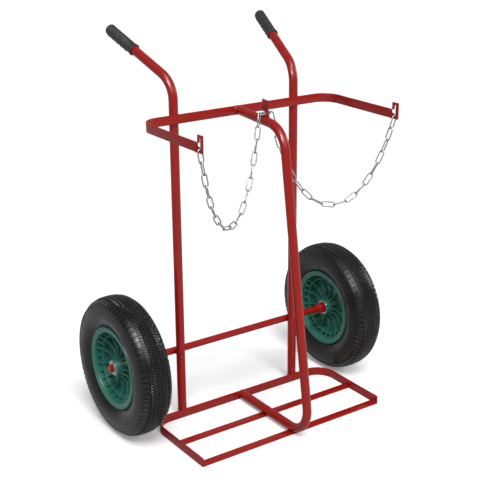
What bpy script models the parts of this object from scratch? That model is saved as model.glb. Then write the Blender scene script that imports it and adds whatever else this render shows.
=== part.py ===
"""Two-bottle gas cylinder cart for an oxygen and an acetylene cylinder.

A welded steel frame stands on a flat toe frame and two pneumatic wheels. A centre
divider parts the two bays, and one steel chain hangs across both of them in two
drapes, hooked to slotted plates at the ends of the upper hoop.

Metres. X runs along the axle, -Y is the front where the cylinders stand, Z is up.
The origin is on the floor, under the middle of the cart.
"""
import math

import bmesh
import bpy
from mathutils import Matrix, Vector

# ---- clearances -------------------------------------------------------------
gap = 0.0003                    # between pieces that touch or are welded together
running_gap = 0.0004            # round the axle and beside what turns

# ---- steel stock ------------------------------------------------------------
tube_dia = 0.0254               # uprights and divider
tube_wall = 0.0020
tube_bend = 0.075               # bend radius of all tubes, on the centre line
bar_height = 0.0254             # flat bar of the hoop and the toe frame, on edge
bar_thick = 0.0040
rail_width = 0.0250             # flat bar laid flat across the toe frame
rail_thick = 0.0040

# ---- uprights and handles ---------------------------------------------------
upright_x = 0.2015              # from the middle plane to each upright
upright_foot_y = 0.0398         # centre of the upright at the floor
upright_foot_z = 0.0020         # the cut end stops just above the floor
upright_lean = math.radians(0.94)
handle_bend_z = 0.980           # where the upright turns into the handle
handle_rise = math.radians(25.5)
handle_splay = math.radians(12.4)
handle_reach = 0.2770           # from that bend to the end of the grip

# ---- grips ------------------------------------------------------------------
grip_length = 0.116
grip_dia = 0.0310
grip_mouth_dia = 0.0340
grip_ridge = 0.0026             # how far the finger ridges stand out below
grip_ridges = 5
grip_end_wall = 0.0060

# ---- toe frame --------------------------------------------------------------
toe_half_width = 0.3120
toe_depth = 0.2660
toe_corner = 0.060
middle_rail_back = 0.1135       # from the back of the toe frame to the middle rail

# ---- upper hoop -------------------------------------------------------------
hoop_top_z = 0.8972
hoop_half_width = 0.3170
hoop_depth = 0.2760
hoop_corner = 0.052

# ---- centre divider ---------------------------------------------------------
divider_reach = 0.2040          # forward from the hoop to the upper bend
divider_fall = 0.0130           # drop of the upper run over that reach
divider_toe = 0.0670            # lower bend, forward of the toe frame's front

# ---- hook plates ------------------------------------------------------------
plate_height = 0.0450
plate_width = 0.0280
plate_prong = 0.0045            # the upper prong stands clear of the bar by this
slot_start = 0.0120             # from the bar's end to the slot
slot_width = 0.0065
slot_bottom = 0.0075
slot_top = 0.0380
entry_bottom = 0.0155           # sideways way into the slot
entry_top = 0.0255
centre_plate_back = 0.1070      # behind the plate, to the hoop's front face
centre_plate_width = 0.0270
notch_depth = 0.0200            # open notch that carries the middle link
notch_bottom = 0.0050
notch_height = 0.0075

# ---- chain ------------------------------------------------------------------
wire_dia = 0.0040
link_length = 0.0422            # over the outside
link_width = 0.0170
links_per_drape = 19
link_play = 0.0003              # spare length at each joint
pair_bite = 0.0007              # two links that share a node sink this far together
hook_link_offset = 0.0011       # the hooked link sits this far outboard of its plate
hook_link_lift = 0.0006         # its wire slopes through the slot, clear of the bottom

# ---- axle and its hardware --------------------------------------------------
axle_dia = 0.0200
axle_end = 0.4217               # from the middle plane to each cut end
collar_dia = 0.0300
collar_length = 0.0140
washer_dia = 0.0360
washer_thick = 0.0025
pin_wire = 0.0036
pin_back = 0.0065               # from the axle's end to the pin
pin_eye = 0.0052                # radius of the eye, on the wire's centre line
pin_leg = 0.0090                # length of the bent-over leg

# ---- wheels -----------------------------------------------------------------
wheel_x = 0.3748                # from the middle plane to each wheel's middle
tyre_dia = 0.4000
tyre_width = 0.1000
rim_width = 0.0812              # over both flanges
rim_dia = 0.2380                # over the flanges
tyre_wall = 0.0060
flange_thick = 0.0096
flange_height = 0.0155          # from the bead seat out to the flange's edge
flange_face = 0.0125            # width of the flange's outer face
barrel_wall = 0.0055            # under the bead seat, at the web
barrel_flare = 0.0020           # the barrel's inside widens by this up to the flange
web_thick = 0.0050
ring_inset = 0.0077             # from the barrel in to the annular rib
ring_thick = 0.0028
ring_height = 0.0210            # above the web
hub_wall = 0.0040               # round the bearings
hub_draft = 0.0015              # taper of the hub, web to end
hub_length = 0.0680
bearing_dia = 0.0420
bearing_width = 0.0120
spoke_count = 13
spoke_thick = 0.0028
rib_hub_height = 0.0225         # a long rib's free edge above the web, at the hub
rib_dip_height = 0.0060         # at its lowest point
rib_rim_height = 0.0275         # at the barrel
rib_dip_share = 0.37            # how far out from hub to barrel it is lowest
rib_root = 0.0020               # a rib sinks this far into what it meets
stem_dia = 0.0080
stem_offset = 0.0160            # from the wheel's middle plane
valve_flange_dia = 0.0130
valve_flange_thick = 0.0020
stem_cap_dia = 0.0104
stem_cap_length = 0.0055

# ---- facets -----------------------------------------------------------------
tube_sides = 10
wire_sides = 6
bend_steps = 6
wheel_steps = 2 * spoke_count   # one facet to each rib
small_steps = 12
axle_steps = 24

# ---- places that follow from the sizes above --------------------------------
tube_r = tube_dia / 2
tube_flat = tube_r * math.cos(math.pi / tube_sides)     # from a tube's middle to its facets
axle_r = axle_dia / 2
wheel_r = tyre_dia / 2
hoop_bottom_z = hoop_top_z - bar_height
rim_r = rim_dia / 2
bead_r = rim_r - flange_height                          # seat of the tyre's beads
barrel_r = bead_r - barrel_wall
ring_r = barrel_r - ring_inset                          # outer face of the annular rib
hub_r = bearing_dia / 2 + hub_wall


def clear_of(radius, steps):
    """Radius of a faceted bore that clears a round of the given radius."""
    return radius / math.cos(math.pi / steps)


def upright_y(height):
    """Centre of an upright at a height above the floor."""
    return upright_foot_y + height * math.tan(upright_lean)


axle_y = upright_y(wheel_r) + (tube_flat + axle_r + gap) / math.cos(upright_lean)
toe_back_y = upright_foot_y - tube_flat - gap
toe_front_y = toe_back_y - toe_depth
hoop_back_y = upright_y(hoop_bottom_z) - tube_flat / math.cos(upright_lean) - gap
hoop_front_y = hoop_back_y - bar_thick
hoop_end_y = hoop_back_y - hoop_depth
slot_middle = slot_start + slot_width / 2


# ---- scene, collections and materials ---------------------------------------
for old in list(bpy.data.objects):
    bpy.data.objects.remove(old, do_unlink=True)

cart = bpy.data.collections.new("gas_cylinder_cart")
bpy.context.scene.collection.children.link(cart)
cutters = bpy.data.collections.new("cutters")
bpy.context.scene.collection.children.link(cutters)


def make_material(name, colour, roughness, metallic=0.0):
    material = bpy.data.materials.new(name)
    material.use_nodes = True
    shader = material.node_tree.nodes["Principled BSDF"]
    shader.inputs["Base Color"].default_value = (*colour, 1.0)
    shader.inputs["Roughness"].default_value = roughness
    shader.inputs["Metallic"].default_value = metallic
    return material


red_paint = make_material("red_paint", (0.38, 0.018, 0.014), 0.35)
black_rubber = make_material("black_rubber", (0.028, 0.028, 0.028), 0.75)
grip_rubber = make_material("grip_rubber", (0.045, 0.045, 0.045), 0.65)
green_plastic = make_material("green_plastic", (0.035, 0.135, 0.095), 0.45)
zinc_steel = make_material("zinc_steel", (0.62, 0.63, 0.64), 0.30, 1.0)
bearing_steel = make_material("bearing_steel", (0.50, 0.50, 0.50), 0.25, 1.0)


# ---- modelling steps shared by the pieces -----------------------------------
def add_object(name, data, material, matrix=None, collection=cart):
    """Link one named object; smooth shading with sharp edges on meshes."""
    piece = bpy.data.objects.new(name, data)
    data.materials.clear()
    data.materials.append(material)
    collection.objects.link(piece)
    if matrix is not None:
        piece.matrix_world = matrix
    if isinstance(data, bpy.types.Mesh) and data.polygons:
        data.shade_smooth()
        data.set_sharp_from_angle(angle=math.radians(35))
    return piece


def to_mesh(piece):
    """Turn a curve or a modified object into a plain mesh object of the same name."""
    bpy.context.view_layer.update()
    graph = bpy.context.evaluated_depsgraph_get()
    mesh = bpy.data.meshes.new_from_object(piece.evaluated_get(graph))
    shape = bmesh.new()
    shape.from_mesh(mesh)
    bmesh.ops.remove_doubles(shape, verts=shape.verts, dist=0.00001)
    shape.to_mesh(mesh)
    shape.free()
    name, matrix = piece.name, piece.matrix_world.copy()
    material = piece.active_material
    bpy.data.objects.remove(piece, do_unlink=True)
    return add_object(name, mesh, material, matrix)


def fuse(piece, other):
    """Boolean union of two mesh objects, kept under the first one's name, flats merged."""
    step = piece.modifiers.new("union", "BOOLEAN")
    step.operation = "UNION"
    step.solver = "EXACT"
    step.object = other
    fused = to_mesh(piece)
    bpy.data.objects.remove(other, do_unlink=True)
    shape = bmesh.new()
    shape.from_mesh(fused.data)
    bmesh.ops.dissolve_limit(shape, angle_limit=math.radians(0.05), verts=shape.verts,
                             edges=shape.edges)
    shape.to_mesh(fused.data)
    shape.free()
    return fused


def add_cutter(name, mesh, matrix):
    """A hidden solid that a Boolean takes away."""
    cutter = bpy.data.objects.new(name, mesh)
    cutters.objects.link(cutter)
    cutter.matrix_world = matrix
    cutter.hide_render = True
    cutter.display_type = "WIRE"
    return cutter


def cut(piece, cutter):
    step = piece.modifiers.new("cut_" + cutter.name, "BOOLEAN")
    step.operation = "DIFFERENCE"
    step.solver = "EXACT"
    step.object = cutter


def cylinder_mesh(name, radius, length, sides):
    """Closed cylinder along Z, centred on its origin."""
    mesh = bpy.data.meshes.new(name)
    shape = bmesh.new()
    bmesh.ops.create_cone(shape, cap_ends=True, segments=sides, radius1=radius,
                          radius2=radius, depth=length)
    shape.to_mesh(mesh)
    shape.free()
    return mesh


def wire(name, points, radius, material, sides=tube_sides, closed=False, matrix=None):
    """Round wire or tube skin along points: a poly curve with a bevel."""
    curve = bpy.data.curves.new(name, "CURVE")
    curve.dimensions = "3D"
    curve.bevel_depth = radius
    curve.bevel_resolution = sides // 2 - 2
    curve.use_fill_caps = not closed
    spline = curve.splines.new("POLY")
    spline.points.add(len(points) - 1)
    for place, point in zip(spline.points, points):
        place.co = (*point, 1.0)
    spline.use_cyclic_u = closed
    return add_object(name, curve, material, matrix)


def plate(name, outline, thickness, material, matrix=None):
    """Flat plate: a filled 2D outline, extruded both ways by half its thickness."""
    curve = bpy.data.curves.new(name, "CURVE")
    curve.dimensions = "2D"
    curve.fill_mode = "BOTH"
    curve.extrude = thickness / 2
    spline = curve.splines.new("POLY")
    spline.points.add(len(outline) - 1)
    for place, point in zip(spline.points, outline):
        place.co = (point[0], point[1], 0.0, 1.0)
    spline.use_cyclic_u = True
    return to_mesh(add_object(name, curve, material, matrix))


def turned(name, profile, material, matrix, steps, closed=True):
    """Shape turned about its own Z from (radius, height) points, outer side downwards."""
    mesh = bpy.data.meshes.new(name)
    edges = [(i, i + 1) for i in range(len(profile) - 1)]
    if closed:
        edges.append((len(profile) - 1, 0))
    mesh.from_pydata([(radius, 0.0, height) for radius, height in profile], edges, [])
    piece = add_object(name, mesh, material, matrix)
    screw = piece.modifiers.new("turn", "SCREW")
    screw.axis = "Z"
    screw.steps = screw.render_steps = steps
    screw.use_merge_vertices = True
    screw.merge_threshold = 0.00001
    screw.use_smooth_shade = True
    return piece


def ring(name, outer_r, width, material, matrix):
    """Plain ring round the axle."""
    inner_r = clear_of(axle_r + gap, small_steps)
    profile = [(inner_r, width / 2), (outer_r, width / 2), (outer_r, -width / 2),
               (inner_r, -width / 2)]
    return turned(name, profile, material, matrix, small_steps)


def bent_path(corners, radius, steps=bend_steps):
    """Centre line of a bent tube: straight runs with an arc at each inner corner."""
    path = [Vector(corners[0])]
    for before, corner, after in zip(corners, corners[1:], corners[2:]):
        back = (Vector(before) - Vector(corner)).normalized()
        ahead = (Vector(after) - Vector(corner)).normalized()
        half_turn = (math.pi - back.angle(ahead)) / 2
        centre = Vector(corner) + (back + ahead).normalized() * radius / math.cos(half_turn)
        start = Vector(corner) + back * radius * math.tan(half_turn) - centre
        turn_axis = start.cross(-back)
        for i in range(steps + 1):
            turn = Matrix.Rotation(2 * half_turn * i / steps, 3, turn_axis)
            path.append(centre + turn @ start)
    path.append(Vector(corners[-1]))
    return path


def bent_bar_outline(half_width, back_y, front_y, corner, thickness, steps=6):
    """Outline of a flat bar on edge, bent to a U that is open to the front."""
    outer, inner = [], []
    for side, start in ((-1, math.pi), (1, math.pi / 2)):
        for i in range(steps + 1):
            angle = start - math.pi / 2 * i / steps
            for edge, radius in ((outer, corner), (inner, corner - thickness)):
                edge.append((side * (half_width - corner) + radius * math.cos(angle),
                             back_y - corner + radius * math.sin(angle)))
    outer = [(-half_width, front_y)] + outer + [(half_width, front_y)]
    inner = [(thickness - half_width, front_y)] + inner + [(half_width - thickness, front_y)]
    return outer + inner[::-1]


def side_name(side):
    return "left" if side < 0 else "right"


# ---- uprights with their handles --------------------------------------------
def handle_line(side):
    """Bend corner, direction and end point of a handle."""
    corner = Vector((side * upright_x, upright_y(handle_bend_z), handle_bend_z))
    level = math.cos(handle_rise)
    along = Vector((side * level * math.sin(handle_splay),
                    level * math.cos(handle_splay), math.sin(handle_rise)))
    return corner, along, corner + along * handle_reach


def make_upright(side):
    """One tube from the floor to the inside of the grip, bent once, open at its foot."""
    corner, along, tip = handle_line(side)
    foot = Vector((side * upright_x, upright_y(upright_foot_z), upright_foot_z))
    end = tip - along * (grip_end_wall + gap)
    name = side_name(side) + "_upright"
    skin = wire(name, bent_path([foot, corner, end], tube_bend), tube_r, red_paint)
    skin.data.use_fill_caps = False
    tube = to_mesh(skin)
    wall = tube.modifiers.new("wall", "SOLIDIFY")
    wall.thickness = tube_wall
    wall.offset = -1.0
    wall.use_even_offset = True
    return tube


def make_grip(side):
    """Soft grip with a closed end and finger ridges along its underside."""
    corner, along, tip = handle_line(side)
    base_r = grip_dia / 2
    ridge_zone = grip_length - 0.022
    profile = [(0.0, 0.0), (base_r * 0.86, -0.0022), (base_r, -0.0090)]
    for i in range(grip_ridges):
        step = ridge_zone / grip_ridges
        profile.append((base_r + grip_ridge, -0.0125 - step * (i + 0.35)))
        profile.append((base_r, -0.0125 - step * (i + 0.95)))
    bore_r = clear_of(tube_r + gap, tube_sides)
    profile += [(grip_mouth_dia / 2, 0.0050 - grip_length), (grip_mouth_dia / 2, -grip_length),
                (bore_r, -grip_length), (bore_r, -grip_end_wall), (0.0, -grip_end_wall)]
    across = Vector((0, 0, 1)).cross(along).normalized()
    upward = along.cross(across)
    matrix = Matrix((across, upward, along)).transposed().to_4x4()
    matrix.translation = tip
    name = side_name(side) + "_grip"
    grip = to_mesh(turned(name, profile, grip_rubber, matrix, tube_sides, closed=False))
    for vertex in grip.data.vertices:
        radius = vertex.co.xy.length
        ridged = base_r < radius < grip_mouth_dia / 2 + grip_ridge and vertex.co.z > 0.006 - grip_length
        if ridged and vertex.co.y > -0.2 * radius:
            vertex.co.xy *= base_r / radius
    return grip


# ---- welded frame -----------------------------------------------------------
def make_toe_frame():
    """Flat bar on edge, bent to a U on the floor, and the two rails laid across it."""
    outline = bent_bar_outline(toe_half_width, toe_back_y, toe_front_y, toe_corner, bar_thick)
    lift = Matrix.Translation((0, 0, bar_height / 2))
    plate("toe_frame", outline, bar_height, red_paint, lift)
    half_span = toe_half_width - bar_thick - gap
    middle_back_y = toe_back_y - middle_rail_back
    for name, back_y in (("middle_rail", middle_back_y), ("front_rail", toe_front_y + rail_width)):
        rail = [(-half_span, back_y - rail_width), (half_span, back_y - rail_width),
                (half_span, back_y), (-half_span, back_y)]
        plate(name, rail, rail_thick, red_paint, Matrix.Translation((0, 0, rail_thick / 2)))


def make_hoop():
    """The same flat bar, bent to a U round the backs and outer sides of both bays."""
    outline = bent_bar_outline(hoop_half_width, hoop_back_y, hoop_end_y, hoop_corner, bar_thick)
    lift = Matrix.Translation((0, 0, hoop_bottom_z + bar_height / 2))
    plate("upper_hoop", outline, bar_height, red_paint, lift)


divider_start = Vector((0, hoop_front_y, hoop_bottom_z + bar_height / 2))
divider_shoulder = divider_start + Vector((0, -divider_reach, -divider_fall))
divider_low_z = rail_thick + gap + tube_flat
divider_heel = Vector((0, toe_front_y - divider_toe, divider_low_z))
divider_slope = math.atan2(divider_fall, divider_reach)


def make_divider():
    """One tube: forward from the hoop, down between the bays, back under them."""
    past = 0.010
    start = divider_start - (divider_shoulder - divider_start).normalized() * past
    end_y = toe_back_y - bar_thick
    finish = Vector((0, end_y + past, divider_low_z))
    path = bent_path([start, divider_shoulder, divider_heel, finish], tube_bend)
    skin = wire("centre_divider", path, tube_r, red_paint)
    skin.data.use_fill_caps = False
    tube = to_mesh(skin)
    shape = bmesh.new()
    shape.from_mesh(tube.data)
    for end, forward in ((Vector((0, hoop_front_y - gap, divider_start.z)), False),
                         (Vector((0, end_y - gap, divider_low_z)), True)):
        whole = [f for f in shape.faces if (f.calc_center_median().z < 0.4) == forward]
        around = {e for f in whole for e in f.edges} | {v for f in whole for v in f.verts}
        bmesh.ops.bisect_plane(shape, geom=whole + list(around), plane_co=end,
                               plane_no=(0, 1, 0), clear_outer=True)
    shape.to_mesh(tube.data)
    shape.free()
    wall = tube.modifiers.new("wall", "SOLIDIFY")
    wall.thickness = tube_wall
    wall.offset = -1.0
    wall.use_even_offset = True


# ---- hook plates ------------------------------------------------------------
end_plate_outline = [
    (0, 0), (plate_width, 0), (plate_width, plate_height), (plate_prong, plate_height),
    (plate_prong, entry_top), (slot_start, entry_top), (slot_start, slot_top),
    (slot_start + slot_width, slot_top), (slot_start + slot_width, slot_bottom),
    (slot_start, slot_bottom), (slot_start, entry_bottom), (0, entry_bottom)]
centre_plate_outline = [
    (0, 0), (centre_plate_width, 0), (centre_plate_width, plate_height), (0, plate_height),
    (0, notch_bottom + notch_height), (notch_depth, notch_bottom + notch_height),
    (notch_depth, notch_bottom), (0, notch_bottom)]

# an outline's first axis runs forward, its second up, and its plate faces along X
plate_axes = Matrix(((0, 0, -1, 0), (-1, 0, 0, 0), (0, 1, 0, 0), (0, 0, 0, 1)))
centre_plate_y = hoop_front_y - centre_plate_back
centre_plate_z = (divider_start.z - centre_plate_back * math.tan(divider_slope)
                  + (tube_flat + gap) / math.cos(divider_slope))
centre_plate_frame = (Matrix.Translation((0, centre_plate_y, centre_plate_z))
                      @ Matrix.Rotation(divider_slope, 4, "X") @ plate_axes)


def make_hook_plates():
    """Slotted plates on the hoop's ends, and the notched one on top of the divider."""
    for side in (-1, 1):
        x = side * (hoop_half_width - bar_thick / 2)
        place = Matrix.Translation((x, hoop_end_y - gap, hoop_bottom_z)) @ plate_axes
        plate(side_name(side) + "_hook_plate", end_plate_outline, bar_thick, red_paint, place)
    plate("centre_hook_plate", centre_plate_outline, bar_thick, red_paint, centre_plate_frame)


# ---- chain ------------------------------------------------------------------
link_inside = link_length - 2 * wire_dia
wire_r = wire_dia / 2
wire_flat = wire_r * math.cos(math.pi / wire_sides)
end_bend = (link_width - wire_dia) / 2              # radius of a link's round end
end_centre = (link_length - link_width) / 2         # from a link's middle to that radius


def link_object(name, matrix):
    """One welded link lying in its own XY plane, long in X, with eight corners."""
    corner = math.radians(22.5)
    points = []
    for end in (0, math.pi):
        for i in (-3, -1, 1, 3):
            angle = end + i * corner
            points.append((math.cos(end) * end_centre + end_bend * math.cos(angle) / math.cos(corner),
                           end_bend * math.sin(angle) / math.cos(corner), 0.0))
    return to_mesh(wire(name, points, wire_r, zinc_steel, wire_sides, True, matrix))


def hanging_slopes(span, rise, lengths):
    """Slopes of a hanging chain's links: their tangents grow by the same step each."""
    def reach(spread, lowest):
        angles = [math.atan((k + 0.5 - lowest) / spread) for k in range(len(lengths))]
        level = sum(length * math.cos(angle) for length, angle in zip(lengths, angles))
        climb = sum(length * math.sin(angle) for length, angle in zip(lengths, angles))
        return level, climb, angles

    def lowest_link(spread):
        low, high = -len(lengths), 2 * len(lengths)
        for _ in range(50):
            middle = (low + high) / 2
            if reach(spread, middle)[1] > rise:
                low = middle
            else:
                high = middle
        return middle

    narrow, wide = 0.01, 100.0
    for _ in range(50):
        spread = (narrow + wide) / 2
        if reach(spread, lowest_link(spread))[0] < span:
            narrow = spread
        else:
            wide = spread
    return reach(spread, lowest_link(spread))[2]


# the middle link lies flat in the centre plate's notch, across the cart
middle_link_at = centre_plate_frame @ Vector(
    (notch_depth - gap - link_width / 2, notch_bottom + gap + wire_r, 0))
hook_at = Vector((hoop_half_width - bar_thick / 2 + hook_link_offset,
                  hoop_end_y - gap - slot_middle,
                  hoop_bottom_z + slot_bottom + hook_link_lift + wire_r))

# how far each link's middle lies from the joint behind it and the joint ahead
half_pitch = (link_inside + link_play) / 2
behind = [link_inside / 2 - wire_flat - gap] + [half_pitch] * (links_per_drape - 1)
ahead = [half_pitch] * (links_per_drape - 1) + [link_inside / 2 + wire_r]


def drape_ends(side):
    """The wire of the middle link that a drape hangs on, and its wire in the hook plate."""
    outer = Vector((side * hook_at.x, hook_at.y, hook_at.z))
    toward = (outer - middle_link_at).to_2d().normalized()
    inner = middle_link_at + Vector((side * end_centre + end_bend * toward.x,
                                     end_bend * toward.y, 0))
    return inner, outer


def drape_steps(side):
    """Start, direction and level direction of each link, from the middle link outward."""
    start, outer = drape_ends(side)
    level = (outer - start).to_2d()
    toward = Vector((*level.normalized(), 0))
    lengths = [back + front for back, front in zip(behind, ahead)]
    steps = []
    for length, angle in zip(lengths, hanging_slopes(level.length, outer.z - start.z, lengths)):
        along = toward * math.cos(angle) + Vector((0, 0, math.sin(angle)))
        steps.append((start, along))
        start = start + along * length
    return steps, toward


def link_frame(middle, along, toward, roll):
    """Placing of a link with its length along a slope, rolled about it."""
    across = Vector((0, 0, 1)).cross(toward).cross(along)
    across = (Matrix.Rotation(roll, 3, along) @ across).normalized()
    frame = Matrix((along, across, along.cross(across))).transposed().to_4x4()
    frame.translation = middle
    return frame


def make_chain():
    """Middle link, then two drapes of links that alternate by a quarter turn.

    The first link of a drape hangs in the drape's own plane, and the last one
    straddles its hook plate, so the drape twists evenly between the two.
    Neighbours in a drape share a node in pairs, and the hooked link has its own.
    """
    link_object("middle_chain_link", Matrix.Translation(middle_link_at)
                @ Matrix.Rotation(divider_slope, 4, "X"))
    for side in (-1, 1):
        steps, toward = drape_steps(side)
        last = steps[-1][1]
        in_plane = Vector((0, 0, 1)).cross(toward).cross(last)
        beside = last.cross(in_plane)
        twist = math.atan(beside.x / in_plane.x)
        for k, (start, along) in enumerate(steps):
            roll = math.pi / 2 * (k % 2) + twist * k / (links_per_drape - 1)
            hooked = k == links_per_drape - 1
            spread = 0.0 if hooked else (pair_bite - link_play) / 2 * (-1 if k % 2 == 0 else 1)
            frame = link_frame(start + along * (behind[k] + spread), along, toward, roll)
            if hooked:
                link_object(side_name(side) + "_chain_hook_link", frame)
            elif k % 2 == 0:
                name = "%s_chain_links_%02d_%02d" % (side_name(side), k + 1, k + 2)
                first = link_object(name, frame)
            else:
                fuse(first, link_object("second_link", frame))


# ---- axle, collars, washers and split pins ----------------------------------
hub_face = wheel_x + hub_length / 2                 # outboard end of a hub
hub_inner = wheel_x - hub_length / 2
along_x = Matrix.Rotation(math.pi / 2, 4, "Y")


def on_axle(x):
    return Matrix.Translation((x, axle_y, wheel_r)) @ along_x


def make_axle():
    """Round bar behind the uprights, drilled near each end for a split pin."""
    bar = add_object("axle", cylinder_mesh("axle", axle_r, 2 * axle_end, axle_steps),
                     red_paint, on_axle(0))
    edge = bar.modifiers.new("chamfer", "BEVEL")
    edge.width = 0.0012
    edge.segments = 1
    edge.limit_method = "ANGLE"
    for side in (-1, 1):
        x = side * (axle_end - pin_back)
        drill = cylinder_mesh("pin_hole", clear_of(pin_wire / 2 + gap, 8), 2 * axle_dia, 8)
        cut(bar, add_cutter(side_name(side) + "_pin_hole", drill,
                            Matrix.Translation((x, axle_y, wheel_r))))
        ring(side_name(side) + "_axle_collar", collar_dia / 2, collar_length, red_paint,
             on_axle(side * (hub_inner - running_gap - washer_thick - gap - collar_length / 2)))
        ring(side_name(side) + "_inner_washer", washer_dia / 2, washer_thick, zinc_steel,
             on_axle(side * (hub_inner - running_gap - washer_thick / 2)))
        ring(side_name(side) + "_outer_washer", washer_dia / 2, washer_thick, zinc_steel,
             on_axle(side * (hub_face + running_gap + washer_thick / 2)))
        make_split_pin(side)


def make_split_pin(side):
    """Pin through the axle: an eye above it, and its leg bent over below."""
    pin_r = pin_wire / 2
    below = -axle_r - gap - pin_r
    points = [(0.0, pin_leg, below - pin_r), (0.0, pin_r, below - pin_r), (0.0, 0.0, below)]
    eye_z = axle_r + gap + pin_r + pin_eye
    for i in range(7):
        angle = math.radians(-90 + 50 * i)
        points.append((0.0, pin_eye * math.cos(angle), eye_z + pin_eye * math.sin(angle)))
    place = Matrix.Translation((side * (axle_end - pin_back), axle_y, wheel_r))
    to_mesh(wire(side_name(side) + "_split_pin", points, pin_r, zinc_steel, sides=6, matrix=place))


# ---- wheels -----------------------------------------------------------------
def wheel_frame(side):
    """Own Z along the axle and outboard, origin at the wheel's middle."""
    turn = Matrix.Rotation(side * math.pi / 2, 4, "Y")
    return Matrix.Translation((side * wheel_x, axle_y, wheel_r)) @ turn


def tyre_section(inset):
    """Half section of the tyre's skin, bead to crown, drawn in by an inset."""
    half, crown = tyre_width / 2 - inset, wheel_r - inset
    seat = rim_width / 2 - flange_thick - gap - inset
    widest = (wheel_r + rim_r) / 2
    return [(bead_r + gap, seat), (rim_r + gap, seat),
            (rim_r + 0.0080 + inset * 0.4, half - 0.0070), (widest, half),
            (crown - 0.0145, half - 0.0080), (crown - 0.0045, half - 0.0210),
            (crown, half - 0.0370)]


def lining_section(inset):
    """The same section with fewer points, for the inside, where the tread is thicker."""
    section = tyre_section(inset)
    return [section[0], section[1], section[3], section[5]]


def make_tyre(side):
    """Pneumatic tyre: an open casing whose beads seat between the rim's flanges."""
    profile = lining_section(tyre_wall)[::-1] + tyre_section(0.0)
    profile += [(radius, -height) for radius, height in reversed(profile)]
    turned(side_name(side) + "_tyre", profile, black_rubber, wheel_frame(side), wheel_steps)


def make_valve(side):
    """Rubber valve: its flange on the bead seat, its stem through the rim, and its cap."""
    seat = bead_r + gap
    tip = ring_r + gap
    flange_r, stem_r, cap_r = valve_flange_dia / 2, stem_dia / 2, stem_cap_dia / 2
    profile = [(0.0, seat + valve_flange_thick), (flange_r, seat + valve_flange_thick),
               (flange_r, seat), (stem_r, seat), (stem_r, tip + stem_cap_length),
               (cap_r, tip + stem_cap_length), (cap_r, tip), (0.0, tip)]
    turned(side_name(side) + "_valve", profile, black_rubber, stem_frame(side), 8, closed=False)


def stem_frame(side):
    """Own Z from the wheel's middle up through the valve, on its outboard half."""
    return Matrix.Translation((side * (wheel_x + stem_offset), axle_y, wheel_r))


def rib_edge(inner_r):
    """Free edge of a rib, from a radius out to the barrel: (radius, height) above the middle plane."""
    dip_r = hub_r + rib_dip_share * (barrel_r - hub_r)
    points = [(hub_r - rib_root, web_thick / 2 + rib_hub_height),
              (dip_r, web_thick / 2 + rib_dip_height),
              (barrel_r + rib_root, web_thick / 2 + rib_rim_height)]
    while points[1][0] < inner_r:
        points.pop(0)
    (near, low), (far, high) = points[0], points[1]
    return [(inner_r, low + (high - low) * (inner_r - near) / (far - near))] + points[1:]


def rib_plate(name, inner_r, matrix):
    """Radial rib through the web, its free edges dished on both faces."""
    edge = rib_edge(inner_r)
    outline = edge + [(radius, -height) for radius, height in reversed(edge)]
    return plate(name, outline, spoke_thick, green_plastic, matrix)


def make_wheel_centre(side):
    """Moulded wheel: rim, web, hub, annular rib, long ribs and short outer ribs."""
    bore_r = clear_of(bearing_dia / 2 + gap, wheel_steps)
    shaft_r = axle_r + 0.0015
    half_hub, half_web, half_rim = hub_length / 2, web_thick / 2, rim_width / 2
    ring_top = half_web + ring_height
    seat_depth = half_hub - bearing_width - gap
    face = [
        (bead_r, half_rim - flange_thick), (rim_r, half_rim - flange_thick), (rim_r, half_rim),
        (rim_r - flange_face, half_rim), (barrel_r + barrel_flare, half_rim - flange_thick),
        (barrel_r, half_web), (ring_r, half_web), (ring_r, ring_top),
        (ring_r - ring_thick, ring_top), (ring_r - ring_thick, half_web), (hub_r, half_web),
        (hub_r - hub_draft, half_hub), (bore_r, half_hub), (bore_r, seat_depth),
        (shaft_r, seat_depth)]
    profile = face[::-1] + [(radius, -height) for radius, height in face]
    name = side_name(side) + "_wheel_centre"
    centre = to_mesh(turned(name, profile, green_plastic, wheel_frame(side), wheel_steps))
    step = math.pi / spoke_count
    upright_rib = Matrix.Rotation(math.pi / 2, 4, "X")
    ribs = []
    for i in range(2 * spoke_count):
        inner_r = hub_r - rib_root if i % 2 == 0 else ring_r - ring_thick / 2
        place = wheel_frame(side) @ Matrix.Rotation((i + 0.5) * step, 4, "Z") @ upright_rib
        ribs.append(rib_plate("rib", inner_r, place))
    with bpy.context.temp_override(active_object=ribs[0], selected_editable_objects=ribs):
        bpy.ops.object.join()
    centre = fuse(centre, ribs[0])
    drill = cylinder_mesh("stem_hole", clear_of(stem_dia / 2 + gap, 8), 2 * barrel_wall, 8)
    place = stem_frame(side) @ Matrix.Translation((0, 0, (bead_r + barrel_r) / 2))
    cut(centre, add_cutter(side_name(side) + "_stem_hole", drill, place))


def make_bearings(side):
    """Shielded ball bearings, one pressed into each end of the hub."""
    for name, sign in (("outer", 1), ("inner", -1)):
        x = side * wheel_x + sign * side * (hub_length / 2 - bearing_width / 2)
        inner_r = clear_of(axle_r + running_gap, small_steps)
        outer_r, half = bearing_dia / 2, bearing_width / 2
        profile = [(inner_r, half), (outer_r, half), (outer_r, -half), (inner_r, -half)]
        turned("%s_%s_bearing" % (side_name(side), name), profile, bearing_steel,
               on_axle(x), small_steps)


# ---- build ------------------------------------------------------------------
for side in (-1, 1):
    make_upright(side)
    make_grip(side)
    make_wheel_centre(side)
    make_tyre(side)
    make_valve(side)
    make_bearings(side)
make_toe_frame()
make_hoop()
make_divider()
make_hook_plates()
make_axle()
make_chain()
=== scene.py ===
"""Looks of a two-bottle gas cylinder cart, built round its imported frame.

Metres. X runs along the axle, -Y is the front where the bottles stand, Z is up.
"""
import math

import bpy
from mathutils import Matrix, Vector


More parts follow.
